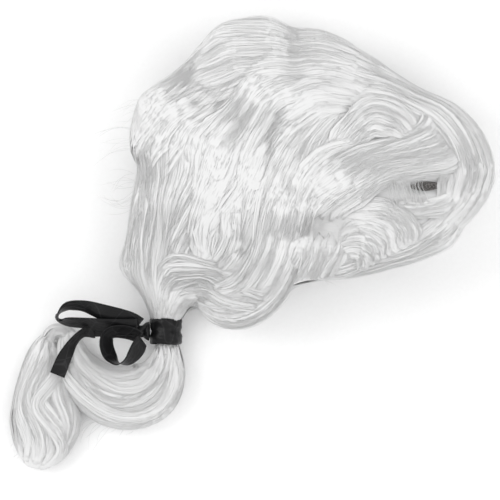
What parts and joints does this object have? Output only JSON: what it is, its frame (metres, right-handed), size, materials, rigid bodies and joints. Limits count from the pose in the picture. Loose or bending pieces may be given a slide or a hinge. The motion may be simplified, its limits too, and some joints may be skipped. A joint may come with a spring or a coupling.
{
  "type": "costume wig",
  "caption": "Men's colonial costume wig of long swept-back white hair on a stretch cap, with soft locks over the ears and a low queue tied with a black satin ribbon bow.",
  "frame": {"origin": "on the surface the wig lies on, under the middle of its bounding box", "axes": "+X to the forehead, +Y to the crown of the head, +Z to the wearer's right, which is up as the wig lies on its left side"},
  "size_m": [0.4497, 0.248, 0.11],
  "materials": {
    "hair": "silky synthetic fibre",
    "net": "open stretch net",
    "band": "woven elastic tape",
    "ribbon": "satin",
    "elastic": "matt",
    "plastic": "satin"
  },
  "bodies": {
    "cap": {"cap_net": "net", "front_band": "band", "nape_band": "band", "crown_rib": "band", "side_rib_right": "band", "side_rib_left": "band", "weft_track_1": "band", "weft_track_2": "band", "weft_track_3": "band", "weft_track_4": "band", "weft_track_5": "band", "weft_track_6": "band", "loop_tape_right": "band", "loop_tape_left": "band", "hair_front_right": "hair", "hair_front_left": "hair", "hair_crown_right": "hair", "hair_crown_left": "hair", "hair_side_right": "hair", "hair_side_left": "hair", "hair_back_right": "hair", "hair_back_left": "hair", "hair_nape_right": "hair", "hair_nape_left": "hair", "hair_gather": "hair", "ear_lock_left": "hair", "temple_lock_right": "hair", "temple_lock_left": "hair"},
    "ear_lock": {"ear_lock_right": "hair"},
    "ear_tab_right": {"ear_tab_right": "net", "ear_stay_right": "plastic"},
    "ear_tab_left": {"ear_tab_left": "net", "ear_stay_left": "plastic"},
    "adjuster_right": {"adjuster_strap_right": "band", "adjuster_hook_right": "plastic"},
    "adjuster_left": {"adjuster_strap_left": "band", "adjuster_hook_left": "plastic"},
    "tie": {"tied_hair": "hair", "tie_elastic": "elastic", "ribbon_wrap": "ribbon", "ribbon_knot": "ribbon", "ribbon_tail_root": "ribbon"},
    "bow_upper": {"bow_loop_upper": "ribbon"},
    "bow_lower": {"bow_loop_lower": "ribbon"},
    "ribbon_tail": {"ribbon_tail_end": "ribbon"},
    "queue": {"queue_bend": "hair"},
    "queue_tip": {"queue_end": "hair"}
  },
  "joints": [
    {"name": "queue_lift", "type": "hinge", "parent": "cap", "child": "tie", "pos_m": [-0.0633, -0.0506, 0.015], "axis": [-0.866, 0.5, 0], "range_deg": [0, 40]},
    {"name": "queue_swing", "type": "hinge", "parent": "tie", "child": "queue", "pos_m": [-0.0833, -0.08524, 0.013], "axis": [0, 0, 1], "range_deg": [-15, 30]},
    {"name": "queue_tip_swing", "type": "hinge", "parent": "queue", "child": "queue_tip", "pos_m": [-0.162, -0.027, 0.01], "axis": [0, 0, 1], "range_deg": [-40, 0]},
    {"name": "bow_upper_lift", "type": "hinge", "parent": "tie", "child": "bow_upper", "pos_m": [-0.09, -0.05, 0.033], "axis": [0.6561, 0.7547, 0], "range_deg": [0, 30]},
    {"name": "bow_lower_lift", "type": "hinge", "parent": "tie", "child": "bow_lower", "pos_m": [-0.093, -0.06, 0.033], "axis": [-0.2419, 0.9703, 0], "range_deg": [0, 12]},
    {"name": "ribbon_tail_lift", "type": "hinge", "parent": "tie", "child": "ribbon_tail", "pos_m": [-0.122, -0.0415, 0.0301], "axis": [-0.2706, 0.9627, 0], "range_deg": [0, 50]},
    {"name": "ear_lock_lift", "type": "hinge", "parent": "cap", "child": "ear_lock", "pos_m": [0.1, -0.0853, 0.1072], "axis": [-1, 0, 0], "range_deg": [0, 70]},
    {"name": "ear_tab_right_fold", "type": "hinge", "parent": "cap", "child": "ear_tab_right", "pos_m": [0.118, -0.0841, 0.086], "axis": [1, 0, 0], "range_deg": [-8, 60], "stiffness_Nm_per_rad": 0.003},
    {"name": "ear_tab_left_fold", "type": "hinge", "parent": "cap", "child": "ear_tab_left", "pos_m": [0.118, -0.0841, 0.018], "axis": [-1, 0, 0], "range_deg": [-8, 60], "stiffness_Nm_per_rad": 0.003},
    {"name": "adjuster_right_slide", "type": "slide", "parent": "cap", "child": "adjuster_right", "axis": [-0.9613, 0, -0.2756], "range_m": [0, 0.012]},
    {"name": "adjuster_left_slide", "type": "slide", "parent": "cap", "child": "adjuster_left", "axis": [-0.9613, 0, 0.2756], "range_m": [0, 0.012]}
  ]
}
